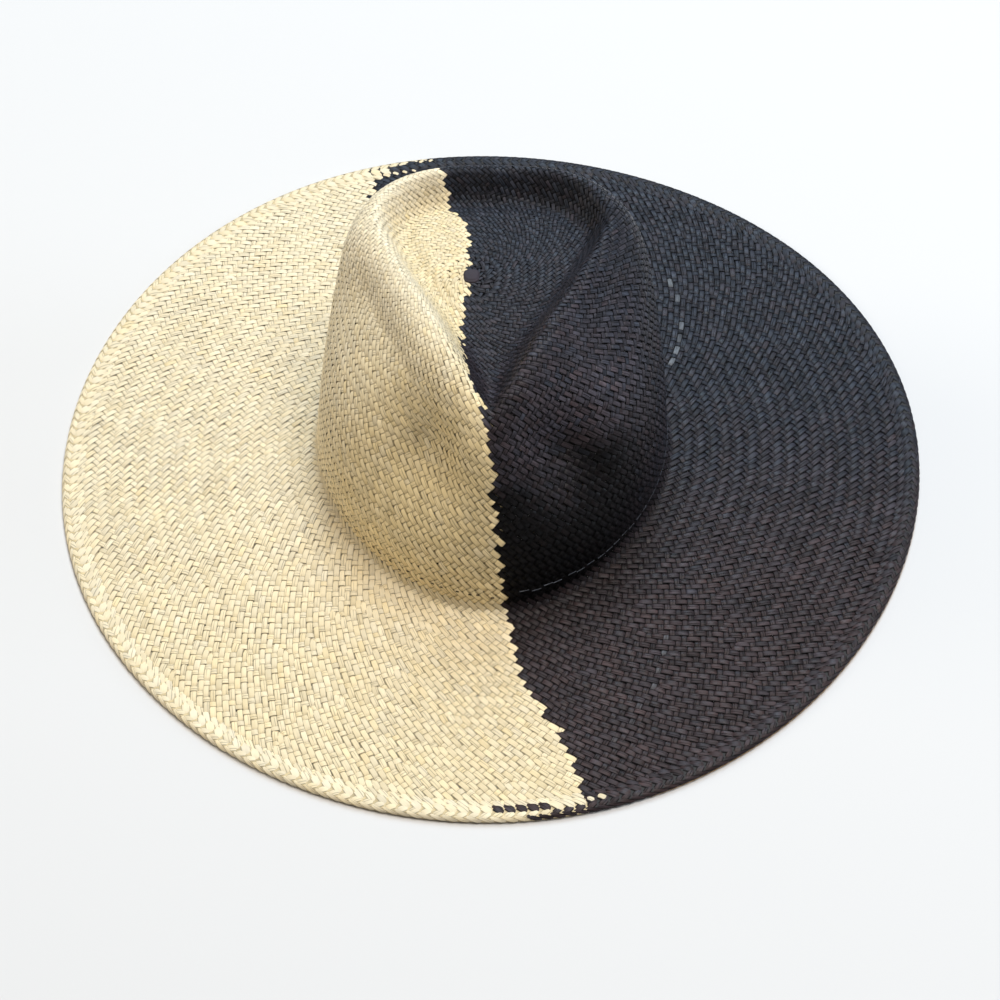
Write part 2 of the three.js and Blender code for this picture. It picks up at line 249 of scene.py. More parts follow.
# Stitches of the band inside, which show on the crown just above the foot: long pale ones on black
# and short dark specks on natural, each from one azimuth round to another
STITCH_RUN = 0.968
STITCH_PITCH = 6.2
STITCH_STEPS = 4
STITCH_LIFT = 0.62
SCATTER_ALONG = 0.15
SCATTER_ACROSS = 0.5
STITCHES = {
    "black": {
        "thread": "light_thread", "colour": (0.16, 0.17, 0.2, 1),
        "length": 4.6, "half_width": 0.22, "from": 274, "to": 108,
    },
    "natural": {
        "thread": "dark_thread", "colour": (0.05, 0.035, 0.02, 1),
        "length": 1.5, "half_width": 0.4, "from": 112, "to": 270,
    },
}
FLAT_ARCH = 0.1

# Button in the middle of the weave
BUTTON_RADIUS = 4.9
BUTTON_HEIGHT = 1.3
BUTTON_LIFT = 0.1
BUTTON_SUNK = 0.8
BUTTON_SIDES = 32
BUTTON_RINGS = 8


def smooth(value, start, end):
    """Eases from 0 at the start to 1 at the end."""
    share = np.clip((value - start) / (end - start), 0, 1)
    return share * share * (3 - 2 * share)


def plan_radius(theta, half_width, half_length, power):
    """Radius of a rounded outline that is an ellipse at power 2 and squarer above it."""
    across = np.abs(np.cos(theta)) / half_width
    along = np.abs(np.sin(theta)) / half_length
    return (across ** power + along ** power) ** (-1.0 / power)


def meridian(theta, steps=300):
    """Reach and height along one meridian, with the share of its length run so far."""
    from_front = np.degrees(np.abs((theta + 1.5 * np.pi) % (2 * np.pi) - np.pi))
    section = FRONT_SECTION + (BACK_SECTION - FRONT_SECTION) * smooth(from_front, *SECTION_TURN)
    share = np.linspace(0, 1, steps)
    angle = np.pi / 2 * (3 * share ** 2 - 2 * share ** 3)
    reach = np.sin(angle) ** (2 / section)
    rise = np.maximum(np.cos(angle), 0) ** (2 / section)
    step = np.hypot(np.diff(reach) * TOP_HALF_LENGTH, np.diff(rise) * (CROWN_TOP - CROWN_FOOT))
    run = np.concatenate([[0], np.cumsum(step)])
    return reach, rise, run / run[-1]


def open_crown(theta, runs):
    """Points down one meridian of the crown before it is dented."""
    reach, rise, run = meridian(theta)
    reach = np.interp(runs, run, reach)
    rise = np.interp(runs, run, rise)
    half_width = FOOT_HALF_WIDTH + (TOP_HALF_WIDTH - FOOT_HALF_WIDTH) * rise
    half_length = FOOT_HALF_LENGTH + (TOP_HALF_LENGTH - FOOT_HALF_LENGTH) * rise
    power = FOOT_POWER + (TOP_POWER - FOOT_POWER) * rise
    radius = reach * plan_radius(theta, half_width, half_length, power)
    inner = (1 - reach) * rise
    x = TOP_SHIFT[0] * rise + (ROSETTE[0] - TOP_SHIFT[0]) * inner + radius * np.cos(theta)
    y = TOP_SHIFT[1] * rise + (ROSETTE[1] - TOP_SHIFT[1]) * inner + radius * np.sin(theta)
    return np.stack([x, y, CROWN_FOOT + (CROWN_TOP - CROWN_FOOT) * rise], -1)


def teardrop_outline(steps=12):
    """The right half of the outline as points (x, y), smooth through the table's rows."""
    rows = len(TEARDROP)
    place = np.linspace(0, rows - 1, steps * (rows - 1) + 1)
    k = np.clip(place.astype(int), 0, rows - 2)
    t = (place - k)[:, None]
    a, b, c, d = (TEARDROP[np.clip(k + offset, 0, rows - 1)] for offset in (-1, 0, 1, 2))
    a = np.where((k == 0)[:, None], c * np.array([1, -1]), a)
    d = np.where((k == rows - 2)[:, None], b * np.array([1, -1]), d)
    square = (2 * a - 5 * b + 4 * c - d) * t ** 2
    cube = (3 * b - a - 3 * c + d) * t ** 3
    return (0.5 * (2 * b + (c - a) * t + square + cube))[:, ::-1]


def inside_teardrop(x, y):
    """Distance inside the teardrop, rounded where its sides meet, and negative outside it."""
    outline = teardrop_outline()
    x = x - TEARDROP_LEAN * y
    inside = np.abs(x) < np.interp(y, outline[:, 1], outline[:, 0], left=-1, right=-1)
    total = 0
    for side in (-1, 1):
        nearest = np.full(x.shape, 1e9)
        for start, end in zip(outline[:-1], outline[1:]):
            line = end - start
            to_x = side * x - start[0]
            to_y = y - start[1]
            t = np.clip((to_x * line[0] + to_y * line[1]) / (line @ line), 0, 1)
            nearest = np.minimum(nearest, np.hypot(to_x - t * line[0], to_y - t * line[1]))
        total = total + np.exp(-nearest / MEET_ROUNDING)
    distance = -MEET_ROUNDING * np.log(total)
    return np.where(inside, distance, -distance)


def side_pinch(points):
    """Depth of the pinch nearest to each point."""
    mirrored = points.copy()
    mirrored[..., 0] = np.abs(mirrored[..., 0])
    line = PINCH_LOWER - PINCH_UPPER
    t = np.clip(((mirrored - PINCH_UPPER) @ line) / (line @ line), 0, 1)
    distance = np.linalg.norm(mirrored - PINCH_UPPER - t[..., None] * line, axis=-1)
    strength = PINCH_UPPER_SHARE + (1 - PINCH_UPPER_SHARE) * t
    return PINCH_DEPTH * strength * np.exp(-(distance / PINCH_REACH) ** 2)


def grid_normals(points):
    """Outward normals of a grid of points that closes on itself along its first axis."""
    around = np.roll(points, -1, 0) - np.roll(points, 1, 0)
    normals = np.cross(np.gradient(points, axis=1), around)
    return normals / np.maximum(np.linalg.norm(normals, axis=-1, keepdims=True), 1e-9)


def crown_points(theta, runs):
    """The dented crown as a grid: azimuths, then runs from the rosette to the foot."""
    points = np.stack([open_crown(one, runs) for one in theta])
    normals = grid_normals(points)
    inside = inside_teardrop(points[..., 0], points[..., 1])
    depth = np.maximum(inside, 0)
    dent = DENT_DEPTH * (1 - np.exp(-(depth / DENT_REACH) ** 2))
    rise = INNER_RISE * smooth(depth, *INNER_RISE_SPAN) * smooth(points[..., 1], *INNER_RISE_ALONG)
    pinch = side_pinch(points) * smooth(-inside, 0, CREST_WIDTH)
    dented = points - normals * pinch[..., None]
    dented[..., 2] -= dent - rise
    return dented


def edge_radius(theta):
    waves = sum(height * np.cos(count * (theta - np.radians(crest))) for count, height, crest in BRIM_WAVES)
    return BRIM_RADIUS + waves


def brim_points(theta, runs):
    """The bend and the brim as a grid, with run 1 where the border begins."""
    theta = np.asarray(theta)[:, None]
    runs = np.asarray(runs)[None]
    foot = plan_radius(theta, FOOT_HALF_WIDTH, FOOT_HALF_LENGTH, FOOT_POWER)
    bend = np.clip(runs / BEND_SHARE, 0, 1) * np.pi / 2
    out = np.maximum((runs - BEND_SHARE) / (1 - BEND_SHARE), 0)
    end = edge_radius(theta) - BORDER_WIDTH
    radius = foot + BEND_RADIUS * (1 - np.cos(bend)) + (end - foot - BEND_RADIUS) * out
    fall = (CROWN_FOOT - BEND_RADIUS - BRIM_EDGE_HEIGHT) * (1 - np.maximum(1 - out, 0) ** BRIM_FALL_POWER)
    height = CROWN_FOOT - BEND_RADIUS * np.sin(bend) - fall + 0 * radius
    return np.stack([radius * np.cos(theta), radius * np.sin(theta), height], -1)


def even_rows(grid, runs):
    """Moves a grid's rows so that they lie evenly along each column. Gives the points, their runs
    and the columns' mean length."""
    step = np.linalg.norm(np.diff(grid, axis=1), axis=-1)
    length = np.concatenate([np.zeros((len(grid), 1)), np.cumsum(step, 1)], 1)
    mean = length[:, -1].mean()
    rows = int(mean / SHEET_STEP) + 1
    share = np.linspace(0, 1, rows)
    points = np.empty((len(grid), rows, 3))
    even_runs = np.empty((len(grid), rows))
    for i, column in enumerate(grid):
        at = length[i] / length[i, -1]
        even_runs[i] = np.interp(share, at, runs)
        for axis in range(3):
            points[i, :, axis] = np.interp(share, at, column[:, axis])
    return points, even_runs, mean


class Sheet:
    """The hat's mid-surface as it was woven. A place on it is a share of the way round a ring and a
    distance from the rosette."""

    def __init__(self):
        theta = np.linspace(0, 2 * np.pi, SHEET_COLUMNS, endpoint=False) - np.pi / 2
        crown_runs = np.linspace(SHEET_FIRST_RUN, 1, SHEET_CROWN_ROWS)
        brim_runs = np.linspace(0, SHEET_LAST_RUN, SHEET_BRIM_ROWS)
        crown, crown_run, self.crown_length = even_rows(crown_points(theta, crown_runs), crown_runs)
        brim, brim_run, brim_length = even_rows(brim_points(theta, brim_runs), brim_runs)
        points = np.concatenate([crown, brim[:, 1:]], 1)
        runs = np.concatenate([crown_run, brim_run[:, 1:]], 1)
        self.distance = np.concatenate([
            np.linspace(0, self.crown_length, crown.shape[1]),
            self.crown_length + np.linspace(0, brim_length, brim.shape[1])[1:],
        ]) + RING_START
        self.crown_end = self.crown_length + RING_START
        self.end = self.distance[-1]
        closed = np.concatenate([points, points[:1]])
        step = np.linalg.norm(np.diff(closed, axis=0), axis=-1)
        around = np.concatenate([np.zeros((1, step.shape[1])), np.cumsum(step, 0)])
        self.round = around[-1]
        azimuth = np.degrees(np.append(theta, theta[0] + 2 * np.pi))
        closed_runs = np.concatenate([runs, runs[:1]])
        shares = np.linspace(0, 1, SHEET_COLUMNS, endpoint=False)
        self.points = np.empty_like(points)
        self.facts = np.empty(points.shape[:2] + (2,))
        for j in range(points.shape[1]):
            at = around[:, j] / around[-1, j]
            for axis in range(3):
                self.points[:, j, axis] = np.interp(shares, at, closed[:, j, axis])
            self.facts[:, j, 0] = np.interp(shares, at, azimuth)
            self.facts[:, j, 1] = np.interp(shares, at, closed_runs[:, j])
        self.normals = grid_normals(self.points)

    def read(self, table, share, distance):
        """A table's values at places on the sheet."""
        column = (share % 1) * SHEET_COLUMNS
        left = np.floor(column).astype(int)
        across = (column - left)[..., None]
        left %= SHEET_COLUMNS
        right = (left + 1) % SHEET_COLUMNS
        row = np.interp(distance, self.distance, np.arange(len(self.distance)))
        low = np.clip(np.floor(row).astype(int), 0, len(self.distance) - 2)
        along = (row - low)[..., None]
        near = table[left, low] * (1 - across) + table[right, low] * across
        far = table[left, low + 1] * (1 - across) + table[right, low + 1] * across
        return near * (1 - along) + far * along

    def place(self, share, distance):
        """Points and normals at places on the sheet."""
        points = self.read(self.points, share, distance)
        normals = self.read(self.normals, share, distance)
        return points, normals / np.linalg.norm(normals, axis=-1, keepdims=True)

    def facts_at(self, share, distance):
        """Azimuth in degrees from 0 to 360, and the run on the crown or the brim."""
        column = np.rint((share % 1) * SHEET_COLUMNS).astype(int) % SHEET_COLUMNS
        row = np.rint(np.interp(distance, self.distance, np.arange(len(self.distance)))).astype(int)
        azimuth = self.facts[column, row, 0] % 360
        return azimuth, self.facts[column, row, 1]


def step_round(start, end):
    """Shortest way round from one share to another."""
    return (end - start + 0.5) % 1 - 0.5


def lay_rings(sheet):
    """Rings of crossings from the button out. Each crossing knows where its two straws cross next,
    and every third ring gets the new straws that keep the spacing."""
    shares = np.arange(FIRST_STRAWS) / FIRST_STRAWS
    distance = sheet.distance[0]
    rings = []
    added = 0
    fresh = np.arange(FIRST_STRAWS)
    while distance < sheet.end:
        count = len(shares)
        round_here = np.interp(distance, sheet.distance, sheet.round)
        ring = {"distance": distance, "shares": shares, "fresh": fresh, "gap": round_here / count}
        rings.append(ring)
        gaps = np.append(shares[1:], shares[0] + 1) - shares
        doubled = np.zeros(count, int)
        if len(rings) % RINGS_IN_REPEAT == 0:
            spacing = np.interp(distance, SPACING[:, 0], SPACING[:, 1])
            wanted = int(round_here / spacing) - count
            for _ in range(max(min(wanted, count), 0)):
                added += 1
                at = shares[0] + (added * SPREAD) % 1
                k = np.searchsorted(shares, at) - 1
                while doubled[k % count]:
                    k += 1
                doubled[k % count] = 1
        first = np.arange(count) + np.concatenate([[0], np.cumsum(doubled)[:-1]])
        following = np.empty(count + doubled.sum())
        following[first] = shares + gaps * np.where(doubled, 1 / 3, 1 / 2)
        twice = np.flatnonzero(doubled)
        following[first[twice] + 1] = shares[twice] + gaps[twice] * 2 / 3
        for _ in range(EVENING_ROUNDS):
            before = np.append(following[-1] - 1, following[:-1])
            after = np.append(following[1:], following[0] + 1)
            following = following * 0.5 + (before + after) * 0.25
        ring["next_a"] = first
        ring["next_b"] = np.roll(first + doubled, 1)
        fresh = first[twice] + 1
        shares = following
        distance += round_here / count / 2
    return rings


def straw_paths(rings, start, family):
    """Shares and distances of one family's straws over one repeat of the weave that begins at a ring."""
    needed = rings[start:start + PATH_RINGS]
    if len(needed) < PATH_RINGS:
        return None
    index = np.arange(len(needed[0]["shares"]))
    shares = [needed[0]["shares"]]
    for ring, following in zip(needed[:-1], needed[1:]):
        index = ring["next_" + family][index]
        shares.append(shares[-1] + step_round(shares[-1], following["shares"][index]))
    return np.stack(shares, 1), np.array([ring["distance"] for ring in needed])


def fresh_paths(rings, start):
    """New straws of the first family, which begin one ring in: their first place is worked back."""
    following = rings[start + 1:start + PATH_RINGS]
    if len(following) < PATH_RINGS - 1 or not len(following[0]["fresh"]):
        return None
    index = following[0]["fresh"]
    shares = [following[0]["shares"][index]]
    for ring, after in zip(following[:-1], following[1:]):
        index = ring["next_a"][index]
        shares.append(shares[-1] + step_round(shares[-1], after["shares"][index]))
    shares.insert(0, shares[0] - (shares[1] - shares[0]))
    distances = [ring["distance"] for ring in following]
    distances.insert(0, 2 * distances[0] - distances[1])
    return np.stack(shares, 1), np.array(distances)


# A straw over one repeat, for each family: place in rings from the first, and lift, up or down.
# The first family goes over two and under one, and the second goes over one and under two.
LONG_FLOAT = np.array([
    (0.0, -1.0),
    (0.34, -0.75),
    (0.6, 0.35),
    (0.95, 1.0),
    (1.5, 1.12),
    (2.05, 1.0),
    (2.4, 0.35),
    (2.66, -0.75),
    (3.0, -1.0),
])
SHORT_FLOAT = np.array([
    (0.5, -1.1),
    (0.95, -1.0),
    (1.35, -0.55),
    (1.6, 0.5),
    (2.0, 1.0),
    (2.4, 0.5),
    (2.65, -0.55),
    (3.05, -1.0),
    (3.5, -1.1),
])


def weave(sheet, rings, random):
    """Every straw of the weave, cut where it passes under. Gives arrays by straw and step."""
    floats = []
    for start in range(-1, len(rings), RINGS_IN_REPEAT):
        paths = [
            ("a", fresh_paths(rings, start), start),
            ("b", straw_paths(rings, start + 1, "b"), start + 1),
        ]
        if start >= 0:
            paths.append(("a", straw_paths(rings, start, "a"), start))
        for family, path, first in paths:
            if path is None:
                continue
            shares, distances = path
            form = LONG_FLOAT if family == "a" else SHORT_FLOAT
            at = np.clip(form[:, 0], 0, PATH_RINGS - 1)
            low = np.minimum(at.astype(int), PATH_RINGS - 2)
            part = at - low
            share = shares[:, low] * (1 - part) + shares[:, low + 1] * part
            distance = distances[low] * (1 - part) + distances[low + 1] * part
            gap = rings[max(first, 0)]["gap"]
            drift = DRIFT * gap * random.standard_normal((len(share), 2))
            share = share + drift[:, :1] / np.interp(distance, sheet.distance, sheet.round)
            distance = distance + drift[:, 1:]
            floats.append((share, np.broadcast_to(distance, share.shape), form[:, 1], gap, family))
    share = np.concatenate([one[0] for one in floats])
    distance = np.concatenate([one[1] for one in floats])
    lift = np.concatenate([np.broadcast_to(one[2], one[0].shape) for one in floats])
    gap = np.concatenate([np.full(len(one[0]), one[3]) for one in floats])
    is_long = np.concatenate([np.full(len(one[0]), one[4] == "a") for one in floats])
    points, normals = sheet.place(share, distance)
    width = FIT * gap / math.sqrt(2) * (1 + WIDTH_SCATTER * random.standard_normal(len(gap)))
    size = np.clip(gap / WIDEST_GAP, 0.6, 1.1)
    middle = share.shape[1] // 2
    azimuth, run = sheet.facts_at(share[:, middle], distance[:, middle])
    _, last_run = sheet.facts_at(share[:, -1], distance[:, -1])
    kept = (distance[:, -1] < sheet.crown_end) | (last_run < WEAVE_LAST_RUN)
    half_width = np.repeat(width[:, None] / 2, share.shape[1], 1)
    made = {
        "points": points,
        "normals": normals,
        "lift": lift * LIFT * size[:, None],
        "half_width": half_width * (0.94 + 0.06 * np.maximum(lift, 0)),
        "arch": ARCH * size,
        "azimuth": azimuth,
        "run": run,
        "on_crown": distance[:, middle] < sheet.crown_end,
        "is_long": is_long,
    }
    return {key: value[kept] for key, value in made.items()}


def middles(woven):
    """The middle point of each straw."""
    return woven["points"][:, woven["points"].shape[1] // 2]


def colour_of_straws(woven, random):
    """Which straws are natural, and which of them are the last ones before the black."""
    azimuth, run, on_crown = woven["azimuth"], woven["run"], woven["on_crown"]
    crown_front = np.interp(run, CROWN_LINE[:, 0], CROWN_LINE[:, 1])
    crown_back = np.interp(run, CROWN_LINE[:, 0], CROWN_LINE[:, 2])
    brim_front = np.interp(run, BRIM_LINE[:, 0], BRIM_LINE[:, 1])
    brim_back = np.interp(run, BRIM_LINE[:, 0], BRIM_LINE[:, 2])
    front = np.where(on_crown, crown_front, brim_front)
    back = np.where(on_crown, crown_back, brim_back)
    radius = np.linalg.norm(middles(woven)[:, :2], axis=-1)
    inside = np.minimum(azimuth - back, front - azimuth) * np.pi / 180 * radius
    inside += RAGGED * random.standard_normal(len(inside))
    woven["is_tip"] = (inside > 0) & (inside < TIP_REACH)
    return inside > 0


def strips(name, points, normals, lift, half_width, arch, tone):
    """A mesh of narrow arched strips, one for each row of the arrays, with three points across."""
    count, steps = points.shape[:2]
    tangent = np.gradient(points, axis=1)
    across = np.cross(normals, tangent)
    across /= np.maximum(np.linalg.norm(across, axis=-1, keepdims=True), 1e-9)
    columns = []
    for side, drop in ((-1, 1), (0, 0), (1, 1)):
        height = lift - drop * np.asarray(arch)[:, None]
        columns.append(points + across * (side * half_width)[..., None] + normals * height[..., None])
    vertices = np.stack(columns, 2).reshape(-1, 3) * MM
    base = (np.arange(count) * steps * 3)[:, None, None]
    row = (np.arange(steps - 1) * 3)[None, :, None]
    side = np.arange(2)[None, None, :]
    corner = base + row + side
    quads = np.stack([corner, corner + 3, corner + 4, corner + 1], -1).reshape(-1, 4)
    mesh = bpy.data.meshes.new(name)
    mesh.vertices.add(len(vertices))
    mesh.vertices.foreach_set("co", vertices.ravel())
    mesh.loops.add(quads.size)
    mesh.loops.foreach_set("vertex_index", quads.ravel().astype(np.int32))
    mesh.polygons.add(len(quads))
    mesh.polygons.foreach_set("loop_start", np.arange(0, quads.size, 4, dtype=np.int32))
    mesh.polygons.foreach_set("use_smooth", np.ones(len(quads), bool))
    mesh.update(calc_edges=True)
    add_strip_maps(mesh, points, quads, count, steps, tone)
    piece = bpy.data.objects.new(name, mesh)
    bpy.context.collection.objects.link(piece)
    return piece


# Free edge of each strip's place in the baked map, along and across
MAP_MARGIN = (0.05, 0.1)


def add_strip_maps(mesh, points, quads, count, steps, tone):
    """Each strip's own place across and along it, its place in the baked map, and its tone."""
    step = np.linalg.norm(np.diff(points, axis=1), axis=-1)
    along = np.concatenate([np.zeros((count, 1)), np.cumsum(step, 1)], 1)
    along_all = np.repeat(along[:, :, None], 3, 2)
    across_all = np.broadcast_to(np.array([0.0, 0.5, 1.0]), along_all.shape)
    strand = np.stack([across_all, along_all], -1).reshape(-1, 2)
    own = mesh.uv_layers.new(name="strand")
    own.data.foreach_set("uv", strand[quads.ravel()].ravel().astype(np.float32))
    columns = int(math.ceil(math.sqrt(count / 3)))
    rows = int(math.ceil(count / columns))
    index = np.arange(count)
    left = (index % columns)[:, None, None] / columns
    low = (index // columns)[:, None, None] / rows
    share = along_all / along[:, -1][:, None, None]
    u = left + (MAP_MARGIN[0] + (1 - 2 * MAP_MARGIN[0]) * share) / columns
    v = low + (MAP_MARGIN[1] + (1 - 2 * MAP_MARGIN[1]) * across_all) / rows
    packed = np.stack([u, v], -1).reshape(-1, 2)
    baked = mesh.uv_layers.new(name="OFBake")
    baked.data.foreach_set("uv", packed[quads.ravel()].ravel().astype(np.float32))
    attribute = mesh.attributes.new("tone", "FLOAT_COLOR", "POINT")
    attribute.data.foreach_set("color", np.repeat(tone, steps * 3, 0).ravel().astype(np.float32))


def add_node(tree, kind, inputs=None, **settings):
    made = tree.nodes.new(kind)
    for name, value in settings.items():
        setattr(made, name, value)
    for name, value in (inputs or {}).items():
        if isinstance(value, bpy.types.NodeSocket):
            tree.links.new(value, made.inputs[name])
        else:
            made.inputs[name].default_value = value
    return made


def math_node(tree, operation, *values):
    inputs = dict(enumerate(values))
    return add_node(tree, "ShaderNodeMath", inputs, operation=operation).outputs[0]


def mix_colour(tree, share, one, other, blend="MIX"):
    made = add_node(tree, "ShaderNodeMix", {0: share, 6: one, 7: other}, data_type="RGBA", blend_type=blend)
    return made.outputs[2]


def ease(tree, value, low, high, to_low=0.0, to_high=1.0):
    inputs = {"Value": value, "From Min": low, "From Max": high, "To Min": to_low, "To Max": to_high}
    made = add_node(tree, "ShaderNodeMapRange", inputs, interpolation_type="SMOOTHSTEP")
    return made.outputs[0]


def new_material(name):
    material = bpy.data.materials.new(name)
    material.use_nodes = True
    return material, material.node_tree, material.node_tree.nodes["Principled BSDF"]


def add_bump(tree, shader, height, distance, strength):
    inputs = {"Height": height, "Distance": distance, "Strength": strength}
    bump = add_node(tree, "ShaderNodeBump", inputs)
    tree.links.new(bump.outputs[0], shader.inputs["Normal"])


def shaded(tree, colour, shade):
    """A colour times a grey."""
    scale = add_node(tree, "ShaderNodeCombineColor", {0: shade, 1: shade, 2: shade})
    return mix_colour(tree, 1.0, colour, scale.outputs[0], "MULTIPLY")


def straw_material(name, look):
    """Straw with fibres along it, splits in some straws, painted shade along each strip's edges, and a
    tone for each straw that holds its own tone and painted light and shade.
    """
    material, tree, shader = new_material(name)
    strand = add_node(tree, "ShaderNodeUVMap", uv_map="strand")
    place = add_node(tree, "ShaderNodeSeparateXYZ", {0: strand.outputs[0]})
    across, along = place.outputs[0], place.outputs[1]
    # The tone: shade and warmth hold painted light and shade as well as each straw's own tone
    attribute = add_node(tree, "ShaderNodeAttribute", attribute_name="tone")
    tone = add_node(tree, "ShaderNodeSeparateColor", {0: attribute.outputs["Color"]})
    shade, warmth, own = tone.outputs[0], tone.outputs[1], tone.outputs[2]

    seed = math_node(tree, "MULTIPLY", own, 60.0)
    fine = add_node(tree, "ShaderNodeCombineXYZ", {
        0: math_node(tree, "MULTIPLY", across, 11.0),
        1: math_node(tree, "MULTIPLY", along, 0.22),
        2: seed,
    })
    fibres = add_node(tree, "ShaderNodeTexNoise", {"Vector": fine.outputs[0], "Scale": 1.0, "Detail": 3.0})
    broad = add_node(tree, "ShaderNodeCombineXYZ", {
        0: math_node(tree, "MULTIPLY", across, 2.0),
        1: math_node(tree, "MULTIPLY", along, 0.12),
        2: seed,
    })
    bands = add_node(tree, "ShaderNodeTexNoise", {"Vector": broad.outputs[0], "Scale": 1.0, "Detail": 1.0})

    # One or two splits along some straws
    split_place = ease(tree, own, 0.0, 1.0, 0.3, 0.7)
    first = math_node(tree, "ABSOLUTE", math_node(tree, "SUBTRACT", across, split_place))
    wander = math_node(tree, "MULTIPLY", math_node(tree, "SUBTRACT", bands.outputs[0], 0.5), 0.12)
    split = ease(tree, math_node(tree, "ADD", first, wander), 0.015, 0.06, 1.0, 0.0)
    draw = math_node(tree, "FRACT", math_node(tree, "MULTIPLY", own, 7.0))
    has_split = ease(tree, draw, look["splits"], look["splits"] + 0.05)
    split = math_node(tree, "MULTIPLY", split, has_split)

    colour = mix_colour(tree, warmth, look["cool"], look["warm"])
    if "fleck" in look:
        colour = mix_colour(tree, attribute.outputs["Alpha"], colour, look["fleck"])
    streak = ease(tree, fibres.outputs[0], 0.3, 0.7, look["streak"], 1.0)
    band = ease(tree, bands.outputs[0], 0.25, 0.75, look["band"], 1.0)
    dark = math_node(tree, "MULTIPLY", math_node(tree, "MULTIPLY", streak, band), shade)
    dark = math_node(tree, "MULTIPLY", dark, ease(tree, split, 0.0, 1.0, 1.0, look["split_dark"]))
    # Painted shade along each strip's edges, where it meets and tucks under its neighbours
    side = math_node(tree, "ABSOLUTE", math_node(tree, "SUBTRACT", across, 0.5))
    edge = ease(tree, side, look["edge_from"], 0.49)
    dark = math_node(tree, "MULTIPLY", dark, ease(tree, edge, 0.0, 1.0, 1.0, look["edge_painted_shade"]))
    tree.links.new(shaded(tree, colour, dark), shader.inputs["Base Color"])

    relief = math_node(tree, "SUBTRACT", fibres.outputs[0], math_node(tree, "MULTIPLY", split, 1.2))
    add_bump(tree, shader, relief, 0.00012, look["bump"])
    rough = ease(tree, fibres.outputs[0], 0.2, 0.8, look["rough"] - 0.06, look["rough"] + 0.08)
    apart = math_node(tree, "FRACT", math_node(tree, "MULTIPLY", own, 13.0))
    apart = math_node(tree, "MULTIPLY", math_node(tree, "SUBTRACT", apart, 0.5), look["rough_spread"])
    rough = math_node(tree, "ADD", rough, apart)
    rough = math_node(tree, "ADD", rough, math_node(tree, "MULTIPLY", edge, 0.35))
    tree.links.new(rough, shader.inputs["Roughness"])
    shader.inputs["Specular IOR Level"].default_value = look["specular"]
    return material


# Looks of the two straws. Cool and warm are the two ends of their colour, and fleck is that of the
# single pale straws. Where a straw lies between cool and warm is partly its own tone and partly painted
# light and shade, and black's bluish cool end stands for a painted sheen. Streak, band, split_dark and
# edge_painted_shade are the darkest that fibres, broad bands, splits and the edges make it, the edges'
# darkness being painted shade where the straws meet, splits is the share of straws without one, and
# edge_from is how far from the middle the dark edge begins.
NATURAL_LOOK = {
    "cool": (0.82, 0.715, 0.52, 1),
    "warm": (0.82, 0.65, 0.36, 1),
    "streak": 0.9,
    "band": 0.93,
    "splits": 0.55,
    "split_dark": 0.6,
    "edge_from": 0.36,
    "edge_painted_shade": 0.42,
    "bump": 0.6,
    "rough": 0.55,
    "rough_spread": 0.06,
    "specular": 0.35,
}
BLACK_LOOK = {
    "cool": (0.036, 0.041, 0.058, 1),
    "warm": (0.064, 0.041, 0.042, 1),
    "fleck": (0.25, 0.27, 0.3, 1),
    "streak": 0.45,
    "band": 0.65,
    "splits": 0.45,
    "split_dark": 0.25,
    "edge_from": 0.27,
    "edge_painted_shade": 0.05,
    "bump": 0.8,
    "rough": 0.42,
    "rough_spread": 0.2,
    "specular": 0.14,
}

# Plain colours
TAN_STRAW = (0.36, 0.2, 0.07, 1)
# The natural core is darker than its straw: painted shade in the gaps of the border's braid
SHADED_NATURAL_CORE = (0.6, 0.48, 0.28, 1)
BLACK_CORE = (0.01, 0.008, 0.008, 1)
BUTTON_CLOTH = (0.03, 0.022, 0.032, 1)
BAND_CLOTH = (0.02, 0.019, 0.021, 1)
FLOOR_COLOUR = (0.66, 0.652, 0.655, 1)


def plain_straw(name, colour):
    """Mottled straw or thread, for small places without a weave of their own."""
    material, tree, shader = new_material(name)
    place = add_node(tree, "ShaderNodeTexCoord").outputs["Object"]
    mottle = add_node(tree, "ShaderNodeTexNoise", {"Vector": place, "Scale": 260.0, "Detail": 3.0})
    shade = ease(tree, mottle.outputs[0], 0.3, 0.7, 0.7, 1.15)
    tree.links.new(shaded(tree, colour, shade), shader.inputs["Base Color"])
    add_bump(tree, shader, mottle.outputs[0], 0.0003, 0.6)
    shader.inputs["Roughness"].default_value = 0.7
    return material


def cloth_material(name, colour):
    """Ribbed matt cloth with a soft mottle."""
    material, tree, shader = new_material(name)
    place = add_node(tree, "ShaderNodeTexCoord").outputs["Object"]
    rib_inputs = {"Vector": place, "Scale": 500.0, "Distortion": 0.4}
    ribs = add_node(tree, "ShaderNodeTexWave", rib_inputs, bands_direction="Z")
    mottle = add_node(tree, "ShaderNodeTexNoise", {"Vector": place, "Scale": 90.0})
    shade = ease(tree, mottle.outputs[0], 0.3, 0.7, 0.8, 1.2)
    tree.links.new(shaded(tree, colour, shade), shader.inputs["Base Color"])
    add_bump(tree, shader, ribs.outputs["Color"], 0.0002, 0.5)
    tree.links.new(ease(tree, mottle.outputs[0], 0.2, 0.8, 0.75, 0.9), shader.inputs["Roughness"])
    return material


# How far shades are apart from straw to straw
NATURAL_SPREAD = 0.05
BLACK_SPREAD = 0.18
BRAID_BLACK_SPREAD = 0.14
THREAD_SPREAD = 0.05
EVEN_WARMTH = 0.5
WARMTH_SPREAD = 0.13

